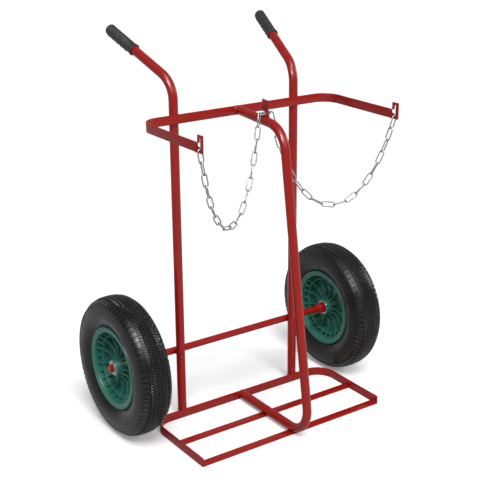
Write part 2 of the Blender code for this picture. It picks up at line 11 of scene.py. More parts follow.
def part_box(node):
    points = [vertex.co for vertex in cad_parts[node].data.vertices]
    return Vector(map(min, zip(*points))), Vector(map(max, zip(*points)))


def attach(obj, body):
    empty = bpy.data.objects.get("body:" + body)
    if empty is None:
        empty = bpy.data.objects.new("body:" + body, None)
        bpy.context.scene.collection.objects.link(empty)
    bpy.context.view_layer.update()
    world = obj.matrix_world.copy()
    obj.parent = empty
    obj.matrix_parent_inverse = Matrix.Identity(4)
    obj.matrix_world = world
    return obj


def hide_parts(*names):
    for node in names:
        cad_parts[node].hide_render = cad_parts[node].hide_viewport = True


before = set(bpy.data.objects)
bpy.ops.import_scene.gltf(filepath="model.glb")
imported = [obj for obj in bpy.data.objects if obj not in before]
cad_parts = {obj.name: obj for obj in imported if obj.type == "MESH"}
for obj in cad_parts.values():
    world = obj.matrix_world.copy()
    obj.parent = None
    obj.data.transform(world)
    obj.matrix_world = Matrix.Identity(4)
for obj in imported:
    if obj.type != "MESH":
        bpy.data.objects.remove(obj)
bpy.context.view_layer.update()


# ---- studio -----------------------------------------------------------------
# A photographer's white floor and room: a broad soft key from above, softboxes in
# front and at the right, and a small lamp at the left that gloss shows as a glint.
bpy.context.scene.view_settings.view_transform = "Standard"
white = (1.0, 1.0, 1.0, 1.0)
floor_gap = 0.0005                       # the floor lies this far under the cart
floor_grey = (0.50, 0.50, 0.50, 1.0)     # what the floor gives the cart
floor_in_gloss = 0.4                     # how far gloss sees it turn from grey to white
floor_glow = 0.20                        # lifts the floor, as the camera sees it, to white
room_light = 0.29                        # what the room gives the cart
room_in_gloss = 0.34                     # what gloss shows of the room


def add_node(tree, kind, **settings):
    """A shader node with its settings; a setting that is an input is set on its socket."""
    node = tree.nodes.new(kind)
    for key, value in settings.items():
        if hasattr(node, key):
            setattr(node, key, value)
        else:
            node.inputs[key.replace("_", " ")].default_value = value
    return node


def wire_up(tree, *routes):
    """Links in a node tree, each from a node's output to another node's input."""
    for source, gives, target, takes in routes:
        tree.links.new(source.outputs[gives], target.inputs[takes])


bpy.ops.object.select_all(action="DESELECT")
bpy.ops.mesh.primitive_plane_add(size=60.0, location=(0.0, 0.0, -floor_gap))
floor = bpy.context.object
floor.name = "studio_floor"
floor_paint = bpy.data.materials.new("floor_paint")
floor_paint.use_nodes = True
tree = floor_paint.node_tree
shader = tree.nodes["Principled BSDF"]
shader.inputs["Emission Color"].default_value = white
shader.inputs["Roughness"].default_value = 0.9
shader.inputs["Specular IOR Level"].default_value = 0.0
seen = add_node(tree, "ShaderNodeLightPath")
mirrored = add_node(tree, "ShaderNodeMath", operation="MULTIPLY")
mirrored.inputs[1].default_value = floor_in_gloss
either = add_node(tree, "ShaderNodeMath", operation="MAXIMUM")
pale = add_node(tree, "ShaderNodeMix", data_type="RGBA", A=floor_grey, B=white)
glow = add_node(tree, "ShaderNodeMath", operation="MULTIPLY")
glow.inputs[1].default_value = floor_glow
wire_up(tree, (seen, "Is Camera Ray", either, 0), (seen, "Is Glossy Ray", mirrored, 0),
        (mirrored, 0, either, 1), (either, 0, pale, "Factor"),
        (pale, "Result", shader, "Base Color"), (seen, "Is Camera Ray", glow, 0),
        (glow, 0, shader, "Emission Strength"))
floor.data.materials.append(floor_paint)

room = bpy.data.worlds.new("room")
bpy.context.scene.world = room
room.use_nodes = True
tree = room.node_tree
sky = tree.nodes["Background"]
sky.inputs["Color"].default_value = white
seen = add_node(tree, "ShaderNodeLightPath")
mirrored = add_node(tree, "ShaderNodeMapRange", To_Min=room_light, To_Max=room_in_gloss)
brighter = add_node(tree, "ShaderNodeMath", operation="MAXIMUM")
wire_up(tree, (seen, "Is Glossy Ray", mirrored, "Value"), (seen, "Is Camera Ray", brighter, 0),
        (mirrored, "Result", brighter, 1), (brighter, 0, sky, "Strength"))


def add_lamp(name, kind, place, target, power, size):
    """A lamp at a place, turned to face a target."""
    aim = (Vector(target) - Vector(place)).to_track_quat("-Z", "Y").to_euler()
    bpy.ops.object.light_add(type=kind, location=place, rotation=aim)
    lamp = bpy.context.object
    lamp.name = name
    lamp.data.energy = power
    if kind == "SUN":
        lamp.data.angle = size
    else:
        lamp.data.size = size
    return lamp


add_lamp("soft_key", "SUN", (-1.0, -2.2, 4.4), (0.0, 0.0, 0.5), 2.05, math.radians(28))
add_lamp("front_softbox", "AREA", (-0.2, -3.2, 2.6), (0.0, 0.0, 0.5), 26.0, 1.2)
add_lamp("side_strip", "AREA", (2.8, -0.6, 1.6), (0.0, 0.0, 0.5), 22.0, 1.0)
glint = add_lamp("left_glint", "AREA", (-1.3, -0.85, 1.9), (0.0, 0.0, 0.3), 48.0, 0.40)
glint.visible_diffuse = False

bpy.ops.object.camera_add(location=(-1.68004, -2.36510, 1.54643),
                          rotation=(math.radians(70.36), 0.0, math.radians(-35.03)))
camera = bpy.context.object
camera.data.lens = 81.07
camera.data.sensor_width = 36.0
camera.data.shift_x = -0.0006
camera.data.shift_y = 0.0021
bpy.context.scene.camera = camera


# ---- uprights ---------------------------------------------------------------
# Two round steel tubes, each bent once near the top into a handle that rises and
# splays outwards. They are powder coated red with the rest of the welded frame.
tube_r = 0.0127
tube_wall = 0.0020
tube_bend = 0.075
upright_x = 0.2015
upright_foot = (0.0398, 0.0020)          # y of the tube at the floor, z of its cut end
upright_lean = math.radians(0.94)
handle_bend_z = 0.980
handle_rise = math.radians(25.5)
handle_splay = math.radians(12.4)
handle_reach = 0.2770
grip_end_wall = 0.0060
tube_steps = (40, 14)                    # sides of a tube, and rings of points to a bend
smooth_angle = math.radians(38)          # edges that fold less than this are shaded smooth


def new_group(name, takes, gives):
    """An empty node group with named sockets."""
    tree = bpy.data.node_groups.new(name, "ShaderNodeTree")
    for label, kind in takes:
        tree.interface.new_socket(name=label, in_out="INPUT", socket_type=kind)
    for label, kind in gives:
        tree.interface.new_socket(name=label, in_out="OUTPUT", socket_type=kind)
    return tree, tree.nodes.new("NodeGroupInput"), tree.nodes.new("NodeGroupOutput")


# Uneven tone: broad clouds of a second colour, and how strongly each point has it.
uneven, given, result = new_group(
    "uneven_tone",
    (("Colour", "NodeSocketColor"), ("Other", "NodeSocketColor"), ("Size", "NodeSocketFloat"),
     ("Amount", "NodeSocketFloat")),
    (("Colour", "NodeSocketColor"), ("Mask", "NodeSocketFloat")))
where = add_node(uneven, "ShaderNodeTexCoord")
clouds = add_node(uneven, "ShaderNodeTexNoise", Detail=5.0, Roughness=0.6)
spread = add_node(uneven, "ShaderNodeMapRange", From_Min=0.38, From_Max=0.66)
share = add_node(uneven, "ShaderNodeMath", operation="MULTIPLY")
blend = add_node(uneven, "ShaderNodeMix", data_type="RGBA")
wire_up(uneven, (where, "Object", clouds, "Vector"), (given, "Size", clouds, "Scale"),
        (clouds, "Fac", spread, "Value"), (spread, "Result", share, 0),
        (given, "Amount", share, 1), (share, 0, blend, "Factor"), (given, "Colour", blend, "A"),
        (given, "Other", blend, "B"), (blend, "Result", result, "Colour"),
        (spread, "Result", result, "Mask"))

# Fine relief: two sizes of soft bumps, as height.
relief, given, result = new_group(
    "fine_relief",
    (("Coarse", "NodeSocketFloat"), ("Fine", "NodeSocketFloat"), ("Balance", "NodeSocketFloat")),
    (("Height", "NodeSocketFloat"),))
where = add_node(relief, "ShaderNodeTexCoord")
coarse = add_node(relief, "ShaderNodeTexNoise", Detail=2.0)
fine = add_node(relief, "ShaderNodeTexNoise", Detail=3.0)
blend = add_node(relief, "ShaderNodeMix")
wire_up(relief, (where, "Object", coarse, "Vector"), (where, "Object", fine, "Vector"),
        (given, "Coarse", coarse, "Scale"), (given, "Fine", fine, "Scale"),
        (given, "Balance", blend, "Factor"), (coarse, "Fac", blend, "A"),
        (fine, "Fac", blend, "B"), (blend, "Result", result, "Height"))


def make_finish(name, colour, other, cloud_size, cloud_amount, rough, grain, bump,
                metallic=0.0, specular=0.5):
    """A finish: uneven tone, roughness that follows it, and a fine relief.

    rough is (least, most), grain is (coarse, fine, balance), bump is (strength, depth).
    """
    material = bpy.data.materials.new(name)
    material.use_nodes = True
    tree = material.node_tree
    shader = tree.nodes["Principled BSDF"]
    shader.inputs["Metallic"].default_value = metallic
    shader.inputs["Specular IOR Level"].default_value = specular
    tone = add_node(tree, "ShaderNodeGroup", node_tree=uneven)
    tone.inputs["Colour"].default_value = (*colour, 1.0)
    tone.inputs["Other"].default_value = (*other, 1.0)
    tone.inputs["Size"].default_value = cloud_size
    tone.inputs["Amount"].default_value = cloud_amount
    gloss = add_node(tree, "ShaderNodeMapRange", To_Min=rough[0], To_Max=rough[1])
    skin = add_node(tree, "ShaderNodeGroup", node_tree=relief)
    for socket, value in zip(("Coarse", "Fine", "Balance"), grain):
        skin.inputs[socket].default_value = value
    raised = add_node(tree, "ShaderNodeBump", Strength=bump[0], Distance=bump[1])
    wire_up(tree, (tone, "Colour", shader, "Base Color"), (tone, "Mask", gloss, "Value"),
            (gloss, "Result", shader, "Roughness"), (skin, "Height", raised, "Height"),
            (raised, "Normal", shader, "Normal"))
    return material


red_paint = make_finish("red_powder_coat", (0.36, 0.0085, 0.0055), (0.29, 0.0060, 0.0045),
                        7.0, 0.5, (0.22, 0.34), (260.0, 900.0, 0.35), (0.10, 0.0006),
                        specular=0.38)


def named(name):
    """Name the primitive just added, and put its place into its mesh."""
    piece = bpy.context.object
    piece.name = piece.data.name = name
    bpy.ops.object.transform_apply()
    return piece


def move(vector):
    """Edit mode: extrude what is selected along a vector."""
    bpy.ops.mesh.extrude_region_move(TRANSFORM_OT_translate={"value": vector})


def run_through(corners, bend, steps):
    """Edit mode: carry the selected section along straight runs and round each corner."""
    corners = [Vector(corner) for corner in corners]
    place = corners[0]
    for before, corner, after in zip(corners, corners[1:], corners[2:]):
        back = (before - corner).normalized()
        ahead = (after - corner).normalized()
        half_turn = (math.pi - back.angle(ahead)) / 2
        setback = bend * math.tan(half_turn)
        centre = corner + (back + ahead).normalized() * bend / math.cos(half_turn)
        start = corner + back * setback
        move(start - place)
        bpy.ops.mesh.spin(steps=steps, angle=-2 * half_turn, center=centre,
                          axis=(start - centre).cross(-back))
        place = corner + ahead * setback
    move(corners[-1] - place)


def face_outwards():
    """Edit mode: turn every face of the piece outwards."""
    bpy.ops.mesh.select_all(action="SELECT")
    bpy.ops.mesh.normals_make_consistent(inside=False)


def facing(direction):
    """Rotation that turns a primitive's own Z to a direction."""
    return Vector(direction).to_track_quat("Z", "Y").to_euler()


def run_tube(name, corners, radius, bend):
    """Open skin of a bent tube. It stays in edit mode."""
    sides, steps = tube_steps
    bpy.ops.object.select_all(action="DESELECT")
    along = Vector(corners[1]) - Vector(corners[0])
    bpy.ops.mesh.primitive_circle_add(vertices=sides, radius=radius, location=corners[0],
                                      rotation=facing(along))
    piece = named(name)
    bpy.ops.object.mode_set(mode="EDIT")
    run_through(corners, bend, steps)
    face_outwards()
    return piece


def apply_step(piece, kind, **settings):
    """Object mode: add a modifier with its settings and apply it."""
    step = piece.modifiers.new(kind.lower(), kind)
    for key, value in settings.items():
        setattr(step, key, value)
    bpy.ops.object.modifier_apply(modifier=step.name)


def soften(piece, width, segments=2, angle=35):
    """Round the sharp edges of a finished shape."""
    apply_step(piece, "BEVEL", width=width, segments=segments, limit_method="ANGLE",
               angle_limit=math.radians(angle), harden_normals=False)


def fit(piece, material, slot, body, *cad_nodes):
    """Shade, paint and fix a piece to the body that carries it."""
    if bpy.context.mode == "EDIT_MESH":
        bpy.ops.object.mode_set(mode="OBJECT")
    piece.data.materials.clear()
    piece.data.materials.append(material)
    bpy.ops.object.shade_smooth_by_angle(angle=smooth_angle)
    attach(piece, body)
    if cad_nodes:
        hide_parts(*cad_nodes)
    return piece


def upright_y(height):
    """How far back an upright's middle line lies at a height."""
    return upright_foot[0] + height * math.tan(upright_lean)


def side_name(side):
    return "left" if side < 0 else "right"


def handle_line(side):
    """Bend corner, direction and end of a handle."""
    corner = Vector((side * upright_x, upright_y(handle_bend_z), handle_bend_z))
    level = math.cos(handle_rise)
    along = Vector((side * level * math.sin(handle_splay), level * math.cos(handle_splay),
                    math.sin(handle_rise)))
    return corner, along, corner + along * handle_reach


for side in (-1, 1):
    corner, along, tip = handle_line(side)
    foot = Vector((side * upright_x, upright_y(upright_foot[1]), upright_foot[1]))
    node = side_name(side) + "_upright"
    tube = run_tube(node + "_tube", [foot, corner, tip - along * grip_end_wall], tube_r,
                    tube_bend)
    bpy.ops.object.mode_set(mode="OBJECT")
    apply_step(tube, "SOLIDIFY", thickness=tube_wall, offset=-1.0, use_even_offset=True)
    fit(tube, red_paint, "frame_paint", "cart_frame", node)


# ---- toe frame and its rails ------------------------------------------------
# Flat steel bar on edge, bent to a U that is open to the front. Two more lengths of
# the bar lie flat on the floor between its arms and carry the bottles.
bar_thick = 0.0040
bar_edge = 0.0007
toe_corner = 0.060
bar_bend_steps = 12
toe_low, toe_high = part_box("toe_frame")


def run_bar(name, low, high, corner, node):
    """A flat bar on edge, bent to a U between the corners of a box, open at -Y."""
    middle_r = corner - bar_thick / 2
    side_x = high.x - bar_thick / 2
    back_y = high.y - bar_thick / 2
    mid_z = (low.z + high.z) / 2
    bpy.ops.object.select_all(action="DESELECT")
    bpy.ops.mesh.primitive_plane_add(size=1.0, location=(-side_x, low.y, mid_z),
                                     rotation=facing((0, -1, 0)))
    bpy.context.object.dimensions = (bar_thick, high.z - low.z, 0.0)
    piece = named(name)
    bpy.ops.object.mode_set(mode="EDIT")
    bpy.ops.mesh.delete(type="ONLY_FACE")
    bpy.ops.mesh.select_all(action="SELECT")
    run_through([(-side_x, low.y, mid_z), (-side_x, back_y, mid_z), (side_x, back_y, mid_z),
                 (side_x, low.y, mid_z)], middle_r, bar_bend_steps)
    bpy.ops.mesh.select_all(action="SELECT")
    bpy.ops.mesh.fill_holes(sides=4)
    face_outwards()
    bpy.ops.object.mode_set(mode="OBJECT")
    soften(piece, bar_edge)
    return fit(piece, red_paint, "frame_paint", "cart_frame", node)


run_bar("toe_frame_bar", toe_low, toe_high, toe_corner, "toe_frame")

for node in ("middle_rail", "front_rail"):
    low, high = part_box(node)
    bpy.ops.object.select_all(action="DESELECT")
    bpy.ops.mesh.primitive_cube_add(size=1.0, location=(low + high) / 2)
    bpy.context.object.dimensions = high - low
    rail = named(node + "_bar")
    soften(rail, bar_edge)
    fit(rail, red_paint, "frame_paint", "cart_frame", node)


# ---- upper hoop -------------------------------------------------------------
# The same flat bar on edge, bent to a wider U round the backs and outer sides of the
# two bottle bays, and welded across the fronts of the uprights.
hoop_low, hoop_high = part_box("upper_hoop")
hoop_corner = 0.052
run_bar("upper_hoop_bar", hoop_low, hoop_high, hoop_corner, "upper_hoop")


# ---- centre divider ---------------------------------------------------------
# One tube that runs forward from the hoop, turns down between the bays, turns back
# under the bottles and ends on the toe frame's back bar. Its ends are cut square.
divider_reach = 0.2040
divider_fall = 0.0130
divider_toe = 0.0655
divider_low_z = 0.01638
past = 0.010                             # the tube is drawn this much long, then cut
mid_height = 0.4                         # between the divider's upper and lower end
hoop_front_y = hoop_high.y - bar_thick
hoop_mid_z = (hoop_low.z + hoop_high.z) / 2
divider_slope = math.atan2(divider_fall, divider_reach)
divider_start = Vector((0.0, hoop_front_y, hoop_mid_z))
shoulder = divider_start + Vector((0.0, -divider_reach, -divider_fall))
heel = Vector((0.0, toe_low.y - divider_toe, divider_low_z))
divider_end = Vector((0.0, toe_high.y - bar_thick, divider_low_z))
divider = run_tube("centre_divider_tube",
                   [divider_start + (divider_start - shoulder).normalized() * past, shoulder,
                    heel, divider_end + Vector((0.0, past, 0.0))], tube_r, tube_bend)


def pick(piece, kind, test):
    """Edit mode: select just the vertices, edges or faces whose middle passes a test."""
    bpy.ops.mesh.select_mode(type=kind)
    bpy.ops.mesh.select_all(action="DESELECT")
    bpy.ops.object.mode_set(mode="OBJECT")
    mesh = piece.data
    if kind == "VERT":
        for vertex in mesh.vertices:
            vertex.select = test(vertex.co)
    elif kind == "EDGE":
        for edge in mesh.edges:
            start, end = (mesh.vertices[i].co for i in edge.vertices)
            edge.select = test((start + end) / 2)
    else:
        for face in mesh.polygons:
            face.select = test(face.center)
    bpy.ops.object.mode_set(mode="EDIT")


for cut, upper in ((divider_start, True), (divider_end, False)):
    pick(divider, "FACE", lambda place: (place.z > mid_height) == upper)
    bpy.ops.mesh.bisect(plane_co=cut, plane_no=(0, 1, 0), clear_outer=True)
bpy.ops.object.mode_set(mode="OBJECT")
apply_step(divider, "SOLIDIFY", thickness=tube_wall, offset=-1.0, use_even_offset=True)
fit(divider, red_paint, "frame_paint", "cart_frame", "centre_divider")


# ---- hook plates ------------------------------------------------------------
# Small laser-cut plates, painted with the frame. One on each end of the hoop has a
# slot for a chain link, and one on top of the divider has the notch for the middle link.
plate_prong = 0.0045
slot_start = 0.0120
slot_width = 0.0065
slot_bottom = 0.0075
slot_top = 0.0380
entry_bottom = 0.0155
entry_top = 0.0255
centre_plate_back = 0.1070
centre_plate_width = 0.0270
centre_plate_height = 0.0450
notch_depth = 0.0200
notch_bottom = 0.0050
notch_height = 0.0075
plate_edge = 0.0006
weld_gap = 0.0003                        # room between two pieces that don't quite touch


def trace(name, points):
    """A line of edges: one vertex, extruded from point to point. It stays in edit mode."""
    bpy.ops.object.select_all(action="DESELECT")
    bpy.ops.mesh.primitive_plane_add(size=0.001, location=points[0])
    piece = named(name)
    bpy.ops.object.mode_set(mode="EDIT")
    bpy.ops.mesh.select_mode(type="VERT")
    bpy.ops.mesh.select_all(action="SELECT")
    bpy.ops.mesh.merge(type="CENTER")
    for here, there in zip(points, points[1:]):
        move(Vector(there) - Vector(here))
    return piece


def cut_plate(name, outline, across):
    """A plate: its traced outline is filled, then given its thickness along a vector."""
    piece = trace(name, outline)
    bpy.ops.mesh.select_all(action="SELECT")
    bpy.ops.mesh.edge_face_add()
    move(across)
    face_outwards()
    return piece


for side in (-1, 1):
    node = side_name(side) + "_hook_plate"
    low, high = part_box(node)
    width, height = high.y - low.y, high.z - low.z
    outline = [(0, 0), (width, 0), (width, height), (plate_prong, height),
               (plate_prong, entry_top), (slot_start, entry_top), (slot_start, slot_top),
               (slot_start + slot_width, slot_top), (slot_start + slot_width, slot_bottom),
               (slot_start, slot_bottom), (slot_start, entry_bottom), (0, entry_bottom)]
    points = [(low.x, high.y - forward, low.z + up) for forward, up in outline]
    plate = cut_plate(node + "_steel", points, (high.x - low.x, 0, 0))
    bpy.ops.object.mode_set(mode="OBJECT")
    soften(plate, plate_edge)
    fit(plate, red_paint, "frame_paint", "cart_frame", node)

centre_plate_y = hoop_front_y - centre_plate_back
centre_plate_z = (hoop_mid_z - centre_plate_back * math.tan(divider_slope)
                  + tube_r / math.cos(divider_slope))
tilt = (Matrix.Translation((0, centre_plate_y, centre_plate_z))
        @ Matrix.Rotation(divider_slope, 4, "X"))
outline = [(0, 0), (centre_plate_width, 0), (centre_plate_width, centre_plate_height),
           (0, centre_plate_height), (0, notch_bottom + notch_height),
           (notch_depth, notch_bottom + notch_height), (notch_depth, notch_bottom),
           (0, notch_bottom)]
points = [tilt @ Vector((-bar_thick / 2, -forward, up)) for forward, up in outline]
plate = cut_plate("centre_hook_plate_steel", points, (bar_thick, 0, 0))
bpy.ops.object.mode_set(mode="OBJECT")
soften(plate, plate_edge)
fit(plate, red_paint, "frame_paint", "cart_frame", "centre_hook_plate")


# ---- axle and collars -------------------------------------------------------
# A round steel bar behind the uprights, painted where it shows, with a short collar
# welded on inboard of each wheel. Its ends are chamfered and drilled for split pins.
axle_low, axle_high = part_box("axle")
axle_y = (axle_low.y + axle_high.y) / 2
axle_z = (axle_low.z + axle_high.z) / 2
axle_r = 0.0100
axle_end = axle_high.x
axle_chamfer = 0.0012
collar_r = 0.0150
collar_edge = 0.0020
turning_steps = 48                       # steps round the axle, the rings and the bearings


def lathe(name, outline, place, axis, steps):
    """A turned piece from (radius, height) points about an axis. It stays in edit mode."""
    axis = Vector(axis).normalized()
    out = axis.orthogonal().normalized()
    piece = trace(name, [place + out * radius + axis * height for radius, height in outline])
    bpy.ops.mesh.select_all(action="SELECT")
    bpy.ops.mesh.spin(steps=steps, angle=math.tau, center=place, axis=axis)
    bpy.ops.mesh.select_all(action="SELECT")
    bpy.ops.mesh.remove_doubles(threshold=0.00001)
    bpy.ops.mesh.normals_make_consistent(inside=False)
    return piece


def on_axle(x):
    """The point of the axle's middle line at a place across the cart."""
    return Vector((x, axle_y, axle_z))


def turn_ring(name, x, outer_r, inner_r, width, edge, material, slot, body, node):
    """A plain ring round the axle, with eased edges."""
    half = width / 2
    outline = [(inner_r, half), (outer_r, half), (outer_r, -half), (inner_r, -half),
               (inner_r, half)]
    piece = lathe(name, outline, on_axle(x), (1, 0, 0), turning_steps)
    bpy.ops.object.mode_set(mode="OBJECT")
    soften(piece, edge)
    return fit(piece, material, slot, body, node)


axle_outline = [(0, axle_end), (axle_r - axle_chamfer, axle_end),
                (axle_r, axle_end - axle_chamfer), (axle_r, axle_chamfer - axle_end),
                (axle_r - axle_chamfer, -axle_end), (0, -axle_end)]
axle = lathe("axle_bar", axle_outline, on_axle(0), (1, 0, 0), turning_steps)
fit(axle, red_paint, "frame_paint", "cart_frame", "axle")

for side in (-1, 1):
    node = side_name(side) + "_axle_collar"
    low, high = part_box(node)
    turn_ring(node + "_ring", (low.x + high.x) / 2, collar_r, axle_r + weld_gap,
              high.x - low.x, collar_edge, red_paint, "frame_paint", "cart_frame", node)


# ---- weld beads -------------------------------------------------------------
# Each joint of the frame carries a short fillet weld under the paint: drops of steel
# laid one over the next along the seam.
drop_r = 0.0021
drop_pitch = 0.0014
fillet = 0.0075                          # from a tube's middle line to its fillet on a flat bar
axle_fillet = 0.0058                     # the same for the axle, on an upright
rail_fillet = 0.0065                     # for the divider, on a rail
plate_fillet = 0.0030                    # and for the centre hook plate, on the divider
fillet_out = 0.0015                      # a fillet's middle stands this far off the bar
bead_out = 0.0005                        # and another bead's this far off its face
rail_lift = 0.0008                       # the same for a bead on the rails,
collar_lift = 0.0006                     # round the axle,
plate_lift = 0.0003                      # and on the divider
seam_short = 0.0020                      # a seam stops this short of a bar's edges
plate_seam_short = 0.0010
foot_seam = (0.0040, 0.0250)             # the heights between which an upright is welded


def weld(name, *seams):
    """Beads along seams, each a list of points; one small drop is copied along them."""
    bpy.ops.object.select_all(action="DESELECT")
    bpy.ops.mesh.primitive_uv_sphere_add(segments=10, ring_count=6, radius=drop_r,
                                         location=seams[0][0])
    bead = named(name)
    place = Vector(seams[0][0])
    bpy.ops.object.mode_set(mode="EDIT")
    bpy.ops.mesh.select_all(action="SELECT")
    for seam in seams:
        for start, end in zip(seam, seam[1:]):
            run = Vector(end) - Vector(start)
            count = max(1, round(run.length / drop_pitch))
            for i in range(count):
                spot = Vector(start) + run * i / count
                bpy.ops.mesh.duplicate_move(TRANSFORM_OT_translate={"value": spot - place})
                place = spot
    return fit(bead, red_paint, "frame_paint", "cart_frame")


def arc_seam(centre, radius, first, last, axis, steps=12):
    """Points on an arc in the plane square to an axis, from one angle to another."""
    across, up = Vector((1, 0, 0) if axis == "Y" else (0, 1, 0)), Vector((0, 0, 1))
    angles = [math.radians(first + (last - first) * i / steps) for i in range(steps + 1)]
    return [Vector(centre) + radius * (math.cos(a) * across + math.sin(a) * up) for a in angles]


for side in (-1, 1):
    name = side_name(side)
    x = side * upright_x
    weld(name + "_foot_weld",
         *[[(x + s * fillet, toe_high.y + fillet_out, level) for level in foot_seam]
           for s in (-1, 1)],
         [(x + s * fillet, toe_high.y + bead_out, toe_high.z) for s in (-1, 1)])
    weld(name + "_hoop_weld",
         *[[(x + s * fillet, hoop_high.y + fillet_out, level)
            for level in (hoop_low.z, hoop_high.z)] for s in (-1, 1)])
    weld(name + "_axle_weld",
         *[[(x + t * fillet, axle_y - axle_r + bead_out, axle_z + s * axle_fillet)
            for t in (-1, 1)] for s in (-1, 1)])
    seam_x = side * (toe_high.x - bar_thick) - side * bead_out
    seams = []
    for node in ("middle_rail", "front_rail"):
        low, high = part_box(node)
        seams.append([(seam_x, y, high.z) for y in (low.y + seam_short, high.y - seam_short)])
    weld(name + "_rail_weld", *seams)
    low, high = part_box(name + "_hook_plate")
    levels = (hoop_low.z + plate_seam_short, hoop_high.z - plate_seam_short)
    weld(name + "_plate_weld",
         *[[(seam_x, high.y, level) for level in levels] for seam_x in (low.x, high.x)])
    low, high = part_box(name + "_axle_collar")
    inboard = low.x if side > 0 else high.x
    weld(name + "_collar_weld", arc_seam(on_axle(inboard), axle_r + collar_lift, 0, 360, "X", 24))

for name, end, arcs in (("divider_top_weld", divider_start, ((-70, 70), (110, 250))),
                        ("divider_end_weld", divider_end, ((-50, 30), (150, 230)))):
    weld(name, *[arc_seam(end - Vector((0, bead_out, 0)), tube_r + bead_out, first, last, "Y")
                 for first, last in arcs])
seams = []
for node in ("middle_rail", "front_rail"):
    low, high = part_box(node)
    for s in (-1, 1):
        seams.append([(s * rail_fillet, y, high.z + rail_lift)
                      for y in (low.y + seam_short, high.y - seam_short)])
weld("divider_rail_weld", *seams)
weld("centre_plate_weld",
     *[[tilt @ Vector((s * plate_fillet, y, plate_lift))
        for y in (-seam_short, seam_short - centre_plate_width)] for s in (-1, 1)])


# ---- wheel centres ----------------------------------------------------------
# One green plastic moulding per wheel: the rim with its flanges, a web in the middle,
# the hub, a ring rib, long ribs that dip between hub and ring, and short outer ribs.
green_plastic = make_finish("green_polypropylene", (0.030, 0.195, 0.145),
                            (0.022, 0.155, 0.114), 11.0, 0.6, (0.30, 0.44),
                            (700.0, 2400.0, 0.5), (0.10, 0.0003), specular=0.45)
wheel_x = 0.3748
rim_r = 0.1190
half_rim = 0.0406
flange_thick = 0.0096
flange_step_r = 0.1112                   # the flange's face is stepped down inside this
flange_lip_r = 0.1025
flange_face = [(rim_r, 0.0035), (rim_r - 0.0008, 0.0012), (rim_r - 0.0026, 0.0),
               (flange_step_r + 0.0006, 0.0), (flange_step_r, 0.0016),
               (flange_lip_r + 0.0020, 0.0018), (flange_lip_r, 0.0030)]    # radius, depth
bead_r = 0.1035
bead_seat = 0.0060                       # width of the tyre's seat behind a flange
seat_round = 0.0010
barrel_r = 0.1000
barrel_flare = 0.0015
barrel_root = 0.0015
half_web = 0.0025
web_margin = 0.0012                      # narrow faces that keep the web flat in shade
ring_r = 0.0875
ring_thick = 0.0028
ring_height = 0.0235
ring_root = 0.0010
hub_r = 0.0250
hub_fillet = 0.0040
hub_draft = 0.0015
half_hub = 0.0340
bearing_r = 0.0210
bearing_width = 0.0120
press_gap = 0.0003
bore_gap = 0.0015
moulding_edge = 0.0005
moulding_steps = 104                     # steps round the moulding, four to a rib
rib_count = 13                           # long ribs, and as many short ones between them
rib_thick = 0.0028
rib_inner = (0.0230, 0.0250)             # radius and height of the rib where it leaves the hub
rib_dip = (0.0520, 0.0085)               # lowest point of its free edge
rib_outer = (0.1015, 0.0340)             # where it meets the flange
rib_curve = (1.8, 1.5)                   # powers of the edge's rise to the hub and the flange
rib_steps = 14
rib_round = 0.0008
rib_margin = 0.0003                      # rim of faces that keeps a rib's sides flat in shade


def rib_edge(inner_radius):
    """Free edge of a rib out to the rim: two smooth curves that meet in the dip."""
    edge = []
    for i in range(rib_steps + 1):
        radius = inner_radius + (rib_outer[0] - inner_radius) * i / rib_steps
        if radius < rib_dip[0]:
            near, power = rib_inner, rib_curve[0]
        else:
            near, power = rib_outer, rib_curve[1]
        share = abs(radius - rib_dip[0]) / abs(near[0] - rib_dip[0])
        edge.append((radius, rib_dip[1] + (near[1] - rib_dip[1]) * share ** power))
    return edge


def make_rib(name, side, inner_radius, first_angle):
    """Ribs of one kind: one plate on edge through the web, then copied round the wheel."""
    edge = rib_edge(inner_radius)
    outline = edge + [(radius, -height) for radius, height in reversed(edge)]
    middle = on_axle(side * wheel_x)
    out = Matrix.Rotation(first_angle, 3, "X") @ Vector((0, 0, 1))
    beside = Vector((1, 0, 0)).cross(out)
    points = [middle + out * radius + Vector((height, 0, 0)) - beside * rib_thick / 2
              for radius, height in outline]
    rib = cut_plate(name, points, beside * rib_thick)
    bpy.ops.object.mode_set(mode="OBJECT")
    soften(rib, rib_round, 2, 60)
    bpy.ops.object.mode_set(mode="EDIT")
    bpy.ops.mesh.select_mode(type="FACE")
    bpy.ops.mesh.select_face_by_sides(number=4, type="GREATER", extend=False)
    bpy.ops.mesh.inset(thickness=rib_margin)
    bpy.ops.mesh.select_all(action="SELECT")
    bpy.ops.mesh.spin(steps=rib_count - 1, angle=math.tau * (rib_count - 1) / rib_count,
                      dupli=True, center=middle, axis=(1, 0, 0))
    bpy.ops.object.mode_set(mode="OBJECT")
    return rib


def join(first, others):
    """Object mode: join pieces into the first one."""
    bpy.ops.object.select_all(action="DESELECT")
    for piece in [first] + others:
        piece.select_set(True)
    bpy.context.view_layer.objects.active = first
    bpy.ops.object.join()
    return first


